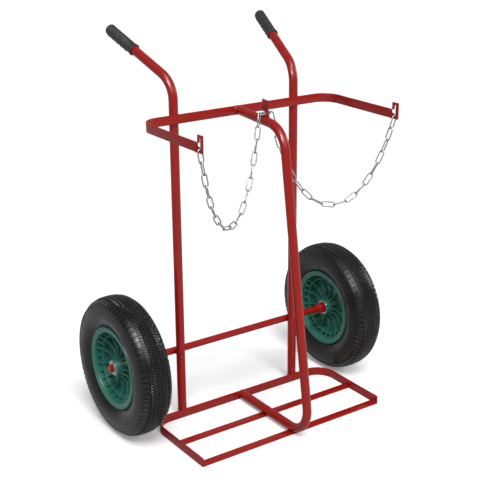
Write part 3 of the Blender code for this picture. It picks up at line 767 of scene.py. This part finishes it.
flange_back = half_rim - flange_thick
half = [(bead_r, flange_back - bead_seat), (bead_r, flange_back - seat_round),
        (bead_r + seat_round, flange_back), (rim_r, flange_back)]
half += [(radius, half_rim - depth) for radius, depth in flange_face]
half += [(barrel_r + barrel_flare, flange_back), (barrel_r, half_web + barrel_root),
         (barrel_r - barrel_root, half_web), (ring_r + ring_thick + ring_root, half_web),
         (ring_r + ring_thick, half_web + ring_root), (ring_r + ring_thick, ring_height),
         (ring_r, ring_height), (ring_r, half_web + ring_root), (ring_r - ring_root, half_web),
         (ring_r - ring_root - web_margin, half_web), (hub_r + hub_fillet + web_margin, half_web)]
half += [(hub_r + hub_fillet * (1 - math.sin(turn)), half_web + hub_fillet * (1 - math.cos(turn)))
         for turn in [math.radians(22.5 * i) for i in range(5)]]
half += [(hub_r - hub_draft, half_hub), (bearing_r + press_gap, half_hub),
         (bearing_r + press_gap, half_hub - bearing_width),
         (axle_r + bore_gap, half_hub - bearing_width)]
centre_outline = half + [(radius, -height) for radius, height in reversed(half)] + [half[0]]

for side in (-1, 1):
    node = side_name(side) + "_wheel_centre"
    centre = lathe(node + "_moulding", centre_outline, on_axle(side * wheel_x), (1, 0, 0),
                   moulding_steps)
    bpy.ops.object.mode_set(mode="OBJECT")
    soften(centre, moulding_edge, 2, 50)
    first_rib = math.pi / (2 * rib_count)
    long_ribs = make_rib("long_ribs", side, rib_inner[0], first_rib)
    short_ribs = make_rib("short_ribs", side, ring_r + ring_thick / 2, 3 * first_rib)
    join(centre, [long_ribs, short_ribs])
    fit(centre, green_plastic, "wheel_plastic", side_name(side) + "_wheel", node)


# ---- bearings ---------------------------------------------------------------
# A shielded ball bearing pressed into each end of the hub: bright races, with the
# pressed shield set back between them.
bearing_steel = make_finish("bearing_steel", (0.56, 0.56, 0.57), (0.44, 0.44, 0.45), 40.0,
                            0.6, (0.22, 0.34), (500.0, 3000.0, 0.6), (0.06, 0.0002), 1.0)
running_gap = 0.0004
race = 0.0030
race_edge = 0.0005
bore_edge = 0.0004
bore_r = axle_r + running_gap
shield_depth = 0.0008
shield_lip = 0.0010
for side in (-1, 1):
    for place in ("outer", "inner"):
        node = "%s_%s_bearing" % (side_name(side), place)
        low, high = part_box(node)
        half = (high.x - low.x) / 2
        recess = half - shield_depth
        face = [(bearing_r, half - race_edge), (bearing_r - race_edge, half),
                (bearing_r - race, half), (bearing_r - race, recess),
                (bore_r + race + shield_lip, recess), (bore_r + race, recess),
                (bore_r + race, half), (bore_r + bore_edge, half), (bore_r, half - bore_edge)]
        outline = face + [(radius, -height) for radius, height in reversed(face)] + [face[0]]
        bearing = lathe(node + "_races", outline, on_axle((low.x + high.x) / 2), (1, 0, 0),
                        turning_steps)
        fit(bearing, bearing_steel, "bearing_steel", side_name(side) + "_wheel", node)


# ---- tyres ------------------------------------------------------------------
# Black pneumatic tyres, moulded in one piece: rounded sidewalls with fine rings, long
# lugs over the shoulders and rows of staggered blocks across the crown.
tyre_rubber = make_finish("tyre_rubber", (0.0052, 0.0052, 0.0054), (0.0092, 0.0090, 0.0088),
                          16.0, 0.7, (0.26, 0.46), (420.0, 1900.0, 0.5), (0.16, 0.0005),
                          specular=0.38)
tyre_r = 0.2000
wall_start = (rim_r + 0.0012, half_rim - 0.0045)
wall_bulge = 0.0086
wall_fullness = 0.85                     # under 1, the bulge is fullest nearer the rim
wall_rings = 6                           # waves over the wall's whole height
wall_ring_relief = 0.00035
wall_ring_span = (0.45, 0.95)            # the part of the wall that bears them
wall_steps = 30
tread_depth = 0.0030
shoulder = (0.1860, 0.0420)              # where the crown turns into the sidewall
lug_foot = (0.1775, 0.0460)              # lower end of a lug on the sidewall
lug_toe_r = 0.1815                       # below this radius a lug is thinner
lug_toe_sink = 0.0013
lug_bend = 0.0345                        # a lug has a fold here, between crown and shoulder
lug_count = 76                           # even, so that lugs can be raised turn about
lug_steps = 4                            # casing steps in a lug; a crown block has two
tread_rows = 5                           # odd: the middle row straddles the middle plane
row_width = 0.0106
tread_lines = [row_width * (i - tread_rows / 2) for i in range(tread_rows + 1)]
lug_groove = 0.0011                      # half the width of a groove
crown_groove = 0.0009
zigzag = 0.0013                          # sideways step of the grooves that run round
block_edge = 0.0004
bead_gap = 0.0003
bead_h = half_rim - flange_thick - bead_gap
casing = 0.0060
lining = [(bead_r + bead_gap, bead_h - casing), (rim_r + 0.0060, bead_h + 0.0030),
          (0.1595, 0.0435), (0.1840, 0.0330), (0.1900, 0.0180)]
on_step = 0.1                            # what lies this near a whole step is on it
on_groove = 0.0001                       # and this near the middle of a groove
foot_margin = 0.0002                     # margins past which edges, faces and points are
lug_margin = 0.0007                      # taken for a lug's or for the crown's
toe_margin = 0.0004
crown_margin = 0.0015
crown_edge = 0.0024


def crown_r(height):
    """Radius of the groove floor at a height over the tyre's middle plane."""
    drop = (tyre_r - shoulder[0]) * (abs(height) / shoulder[1]) ** 3
    return tyre_r - tread_depth - drop


def sidewall():
    """Bulging sidewall, from the rim to the foot of the lugs, with fine rings."""
    points = []
    for i in range(wall_steps + 1):
        share = i / wall_steps
        line = wall_start[1] + (lug_foot[1] - wall_start[1]) * share
        bulge = wall_bulge * math.sin(math.pi * share ** wall_fullness)
        ringed = wall_ring_span[0] < share < wall_ring_span[1]
        ring = wall_ring_relief * math.sin(2 * wall_rings * math.pi * share) if ringed else 0.0
        points.append((wall_start[0] + (lug_foot[0] - wall_start[0]) * share,
                       line + bulge + ring))
    return points


half = [(bead_r + bead_gap, bead_h), (rim_r - 0.0010, bead_h), (rim_r + 0.0010, bead_h + 0.0009)]
half += sidewall()
half += [(crown_r(height), height) for height in
         [shoulder[1], lug_bend] + [line for line in reversed(tread_lines) if line > 0]]
tyre_outline = half + [(radius, -height) for radius, height in reversed(half)]
tyre_outline += [(radius, -height) for radius, height in lining] + lining[::-1] + [half[0]]

for side in (-1, 1):
    node = side_name(side) + "_tyre"
    middle = on_axle(side * wheel_x)
    tyre = lathe(node + "_rubber", tyre_outline, middle, (1, 0, 0), lug_steps * lug_count)

    def on_tyre(place):
        """Height over the middle plane, radius, and steps round the tyre of a point."""
        arm = place - middle
        return arm.x, arm.yz.length, math.atan2(arm.y, arm.z) / math.tau * lug_steps * lug_count

    def row_of(height):
        """Row of the crown that a height lies in; the lugs lie past the first and last."""
        return sum(height > line for line in tread_lines)

    def spare_edge(place):
        """Cross edges inside a lug or block: the crown's lie a step apart from row to row."""
        height, radius, turn = on_tyre(place)
        if abs(turn - round(turn)) > on_step or radius < lug_foot[0] + foot_margin:
            return False
        row = row_of(height)
        if row in (0, tread_rows + 1):
            return round(turn) % lug_steps != 0
        return (round(turn) + row) % 2 == 0

    pick(tyre, "EDGE", spare_edge)
    bpy.ops.mesh.dissolve_edges(use_verts=False)

    for odd in (0, 1):
        def on_line(place):
            """Points of the grooves that run round the tyre, every other one."""
            height, radius, turn = on_tyre(place)
            near = [j for j, line in enumerate(tread_lines) if abs(height - line) < on_groove]
            return bool(near) and radius > lug_foot[0] and (round(turn) + near[0]) % 2 == odd

        pick(tyre, "VERT", on_line)
        bpy.ops.transform.translate(value=((1 - 2 * odd) * zigzag, 0, 0))

    def raise_blocks(groove, apart):
        """Draw the picked faces in by half a groove, raise them, and ease their edges."""
        bpy.ops.mesh.inset(thickness=groove, use_individual=apart, use_boundary=True)
        bpy.ops.mesh.extrude_region_shrink_fatten(
            TRANSFORM_OT_shrink_fatten={"value": tread_depth})
        bpy.ops.mesh.region_to_loop()
        bpy.ops.mesh.bevel(offset=block_edge, segments=1, affect="EDGES")

    for odd in (0, 1):
        def on_lug(place):
            """Faces of the lugs, every other one."""
            height, radius, turn = on_tyre(place)
            beside = (abs(height) > tread_lines[-1] + crown_margin
                      and radius > lug_foot[0] + lug_margin)
            return beside and math.floor(turn / lug_steps) % 2 == odd

        pick(tyre, "FACE", on_lug)
        raise_blocks(lug_groove, False)

    for face in (-1, 1):
        def on_toe(place):
            """Points of the raised lugs' lower ends, which fade into the sidewall."""
            height, radius, _ = on_tyre(place)
            return (face * height > lug_foot[1] + lug_margin
                    and lug_foot[0] + toe_margin < radius < lug_toe_r)

        pick(tyre, "VERT", on_toe)
        bpy.ops.transform.translate(value=(-face * lug_toe_sink, 0, 0))

    def on_crown(place):
        """Faces of the crown's rows, and not of the lining under them."""
        height, radius, _ = on_tyre(place)
        return (abs(height) < tread_lines[-1] - crown_edge
                and radius > lining[-1][0] + crown_margin)

    pick(tyre, "FACE", on_crown)
    raise_blocks(crown_groove, True)
    fit(tyre, tyre_rubber, "tyre_rubber", side_name(side) + "_wheel", node)


# ---- valves -----------------------------------------------------------------
# A rubber snap-in valve in each rim, with its screwed cap towards the hub.
valve_stem_r = 0.0040
valve_cap_r = 0.0052
valve_cap_length = 0.0062
valve_flange = (0.0065, 0.0020)          # radius and height of the foot in the rim
cap_shoulder = 0.0004
cap_ridges = 5
cap_groove = 0.0003
cap_nose = 0.0006
valve_steps = 24
for side in (-1, 1):
    node = side_name(side) + "_valve"
    low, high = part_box(node)
    centre = (low + high) / 2
    tip = low.z - axle_z
    top = high.z - axle_z
    outline = [(0, top), (valve_flange[0], top), (valve_flange[0], top - valve_flange[1]),
               (valve_stem_r, top - valve_flange[1]), (valve_stem_r, tip + valve_cap_length),
               (valve_cap_r - cap_shoulder, tip + valve_cap_length)]
    for i in range(cap_ridges):
        level = tip + valve_cap_length * (1 - (i + 0.5) / (cap_ridges + 1))
        outline += [(valve_cap_r, level + cap_groove), (valve_cap_r - cap_groove, level - 0.0002)]
    outline += [(valve_cap_r - cap_nose, tip), (0, tip)]
    valve = lathe(node + "_rubber", outline, Vector((centre.x, centre.y, axle_z)), (0, 0, 1),
                  valve_steps)
    fit(valve, tyre_rubber, "valve_rubber", side_name(side) + "_wheel", node)


# ---- washers and split pins -------------------------------------------------
# A washer each side of the hubs, the inner ones painted with the axle and the outer
# ones zinc plated, and a split pin through each axle end: an eye above, its leg bent
# over below.
zinc = make_finish("dull_zinc_plate", (0.40, 0.40, 0.40), (0.28, 0.28, 0.28), 55.0, 0.7,
                   (0.30, 0.44), (300.0, 1500.0, 0.5), (0.08, 0.0003), 0.45)
washer_r = 0.0180
washer_edge = 0.0005
pin_r = 0.0018
pin_back = 0.0065                        # from the axle's end to the pin
pin_eye = 0.0052
pin_leg = 0.0090
pin_turn = math.radians(300)             # how much of the eye's ring is closed
for side in (-1, 1):
    for place in ("inner", "outer"):
        node = "%s_%s_washer" % (side_name(side), place)
        low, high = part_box(node)
        finish, slot = (zinc, "zinc_steel") if place == "outer" else (red_paint, "frame_paint")
        turn_ring(node + "_plate", (low.x + high.x) / 2, washer_r, axle_r + weld_gap,
                  high.x - low.x, washer_edge, finish, slot, "cart_frame", node)

    node = side_name(side) + "_split_pin"
    x = side * (axle_end - pin_back)
    below = axle_z - axle_r - weld_gap - 2 * pin_r
    eye_centre = Vector((x, axle_y, axle_z + axle_r + weld_gap + pin_r + pin_eye))
    start = Matrix.Rotation(pin_turn, 3, "X") @ Vector((0, 0, -pin_eye))
    bpy.ops.object.select_all(action="DESELECT")
    bpy.ops.mesh.primitive_circle_add(vertices=12, radius=pin_r, fill_type="NGON",
                                      location=eye_centre + start,
                                      rotation=facing(Vector((1, 0, 0)).cross(start)))
    pin = named(node + "_wire")
    bpy.ops.object.mode_set(mode="EDIT")
    bpy.ops.mesh.select_all(action="SELECT")
    bpy.ops.mesh.spin(steps=20, angle=pin_turn, center=eye_centre, axis=(1, 0, 0))
    knee = Vector((x, axle_y, below + 2 * pin_r))
    move(knee - eye_centre + Vector((0, 0, pin_eye)))
    bpy.ops.mesh.spin(steps=6, angle=-math.pi / 2, center=knee + Vector((0, 2 * pin_r, 0)),
                      axis=(1, 0, 0))
    move((0, pin_leg - 2 * pin_r, 0))
    face_outwards()
    fit(pin, zinc, "zinc_steel", "cart_frame", node)


# ---- grips ------------------------------------------------------------------
# Soft black grips pushed over the handles: a domed end, a flared mouth, and rounded
# ridges along the underside for the fingers.
grip_rubber = make_finish("grip_rubber", (0.020, 0.020, 0.021), (0.036, 0.035, 0.035), 60.0, 0.7,
                          (0.44, 0.62), (420.0, 2600.0, 0.25), (0.55, 0.0010))
grip_length = 0.116
grip_r = 0.0155
mouth_r = 0.0170
mouth_width = 0.0050
mouth_flare = 0.0025
mouth_round = 0.0008
grip_gap = 0.0002
grip_dome = 0.0096
grip_steps = 40
grip_ridge = 0.0026
grip_ridges = 5
ridge_pitch = 0.0177
ridge_start = 0.0104
ridge_rings = 8                          # rings of points to a ridge
ridge_power = 0.75                       # under 1, ridges are full and the dips between sharp
swell_layers = ((0.10, 0.35), (0.50, 0.35), (0.80, 0.30))    # depth on the underside as a
                                         # share of the radius, and share of the swell
skin_margin = 0.0015
ring_margin = 0.0003
for side in (-1, 1):
    node = side_name(side) + "_grip"
    corner, along, tip = handle_line(side)
    upward = along.cross(Vector((0, 0, 1)).cross(along)).normalized()
    dome = [(grip_r * math.sin(a), grip_dome * (math.cos(a) - 1)) for a in
            [math.radians(15 * i) for i in range(7)]]
    levels = [-ridge_start - ridge_pitch * i / ridge_rings
              for i in range(grip_ridges * ridge_rings + 1)]
    outline = dome + [(grip_r, level) for level in levels]
    outline += [(grip_r, mouth_width + mouth_flare - grip_length),
                (mouth_r, mouth_width - grip_length), (mouth_r, mouth_round - grip_length),
                (mouth_r - mouth_round, -grip_length), (tube_r + grip_gap, -grip_length),
                (tube_r + grip_gap, -grip_end_wall), (0, -grip_end_wall)]
    grip = lathe(node + "_sleeve", outline, tip, along, grip_steps)
    for i, level in enumerate(levels):
        swell = grip_ridge * abs(math.sin(math.pi * i / ridge_rings)) ** ridge_power
        if i % ridge_rings == 0:
            continue
        for lowest, share in swell_layers:
            def under(place):
                """Points of this ring of the skin that lie below a level of the grip."""
                arm = place - tip
                beside = arm - along * arm.dot(along)
                return (abs(arm.dot(along) - level) < ring_margin
                        and beside.length > grip_r - skin_margin
                        and -beside.dot(upward) > lowest * grip_r)

            pick(grip, "VERT", under)
            bpy.ops.transform.translate(value=-upward * swell * share)
    fit(grip, grip_rubber, "grip_rubber", "cart_frame", node)


# ---- chain ------------------------------------------------------------------
# Zinc-plated welded chain. One link lies across the notch of the centre plate, and a
# drape of nineteen hangs from it on each side, its last link in the hoop's hook plate.
wire_r = 0.0020
link_length = 0.0422
link_width = 0.0170
drape_links = 19
link_play = 0.0003
hook_offset = 0.0011
hook_lift = 0.0006
wire_sides = 12
end_steps = 9                            # steps round each end of a link
end_bend = link_width / 2 - wire_r
end_centre = (link_length - link_width) / 2
link_inside = link_length - 4 * wire_r
wire_flat = wire_r * math.cos(math.pi / 6)    # the frame's own links are of six-sided wire
weld_swell = 1.14
weld_length = 0.8                        # half the weld's length, in wire radii
left_lie = math.radians(-22)             # how far the hanging links have rolled over
right_lie = math.radians(52)
lie_links = 4                            # the left drape's roll sets in over so many links

bpy.ops.object.select_all(action="DESELECT")
bpy.ops.mesh.primitive_circle_add(vertices=wire_sides, radius=wire_r, location=(0, -end_bend, 0),
                                  rotation=facing((1, 0, 0)))
link = named("chain_link")
bpy.ops.object.mode_set(mode="EDIT")
bpy.ops.mesh.select_all(action="SELECT")
near_weld = Vector((wire_r * weld_length, 0, 0))
straight = Vector((end_centre, 0, 0))
move(near_weld)
move(straight - near_weld)
bpy.ops.mesh.spin(steps=end_steps, angle=-math.pi, center=straight, axis=(0, 0, 1))
move(-2 * straight)
bpy.ops.mesh.spin(steps=end_steps, angle=-math.pi, center=-straight, axis=(0, 0, 1))
move(straight - near_weld)
move(near_weld)
bpy.ops.mesh.select_all(action="SELECT")
bpy.ops.mesh.remove_doubles(threshold=0.00002)
bpy.ops.mesh.normals_make_consistent(inside=False)
pick(link, "VERT", lambda place: abs(place.x) < 0.0001 and place.y < 0)
bpy.ops.transform.resize(value=(1.0, weld_swell, weld_swell), center_override=(0, -end_bend, 0))
bpy.ops.object.mode_set(mode="OBJECT")


def hang_link(name, matrix, body, *cad_nodes):
    """A copy of the link, put in its place."""
    bpy.ops.object.select_all(action="DESELECT")
    link.select_set(True)
    bpy.context.view_layer.objects.active = link
    bpy.ops.object.duplicate()
    bpy.context.object.matrix_world = matrix
    piece = named(name)
    fit(piece, zinc, "zinc_steel", body, *cad_nodes)


def slopes(span, rise, lengths):
    """Slopes of a hanging chain's links: their tangents grow by the same step each."""
    def reach(spread, lowest):
        """How far a chain of that spread and lowest link gets, across and up."""
        angles = [math.atan((k + 0.5 - lowest) / spread) for k in range(len(lengths))]
        return (sum(l * math.cos(a) for l, a in zip(lengths, angles)),
                sum(l * math.sin(a) for l, a in zip(lengths, angles)), angles)

    def halve(low, high, too_high):
        """The value between two others at which a test changes."""
        for _ in range(50):
            guess = (low + high) / 2
            low, high = (low, guess) if too_high(guess) else (guess, high)
        return low

    def lowest_link(spread):
        return halve(-len(lengths), 2 * len(lengths), lambda guess: reach(spread, guess)[1] < rise)

    spread = halve(0.01, 100.0, lambda guess: reach(guess, lowest_link(guess))[0] > span)
    return reach(spread, lowest_link(spread))[2]


low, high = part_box("middle_chain_link")
middle_link = (low + high) / 2
hang_link("middle_chain_link_wire", Matrix.Translation(middle_link)
          @ Matrix.Rotation(divider_slope, 4, "X"), "cart_frame", "middle_chain_link")
half_pitch = (link_inside + link_play) / 2
behind = [link_inside / 2 - wire_flat - weld_gap] + [half_pitch] * (drape_links - 1)
ahead = [half_pitch] * (drape_links - 1) + [link_inside / 2 + wire_r]
for side in (-1, 1):
    low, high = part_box(side_name(side) + "_hook_plate")
    outer = Vector(((low.x + high.x) / 2 + side * hook_offset,
                    high.y - slot_start - slot_width / 2,
                    low.z + slot_bottom + hook_lift + wire_r))
    toward = Vector((*(outer - middle_link).xy, 0)).normalized()
    inner = middle_link + Vector((side * end_centre, 0, 0)) + toward * end_bend
    level = Vector((*(outer - inner).xy, 0))
    toward = level.normalized()
    lengths = [back + front for back, front in zip(behind, ahead)]
    angles = slopes(level.length, outer.z - inner.z, lengths)
    last = toward * math.cos(angles[-1]) + Vector((0, 0, math.sin(angles[-1])))
    in_plane = Vector((0, 0, 1)).cross(toward).cross(last)
    twist = math.atan(last.cross(in_plane).x / in_plane.x)
    start = inner
    for k, angle in enumerate(angles):
        along = toward * math.cos(angle) + Vector((0, 0, math.sin(angle)))
        share = k / (drape_links - 1)
        if side < 0:
            lie = left_lie * (1 - share ** 6) * min(1.0, k / lie_links)
        else:
            lie = right_lie * math.sin(math.pi * share ** 0.9)
        roll = math.pi / 2 * (k % 2) + twist * share + lie
        across = Matrix.Rotation(roll, 3, along) @ Vector((0, 0, 1)).cross(toward).cross(along)
        across.normalize()
        matrix = Matrix((along, across, along.cross(across))).transposed().to_4x4()
        matrix.translation = start + along * behind[k]
        if k == drape_links - 1:
            stands_for = [side_name(side) + "_chain_hook_link"]
        elif k % 2 == 0:
            stands_for = ["%s_chain_links_%02d_%02d" % (side_name(side), k + 1, k + 2)]
        else:
            stands_for = []
        hang_link("%s_chain_link_%02d" % (side_name(side), k + 1), matrix,
                  side_name(side) + "_chain", *stands_for)
        start = start + along * lengths[k]
bpy.data.objects.remove(link)
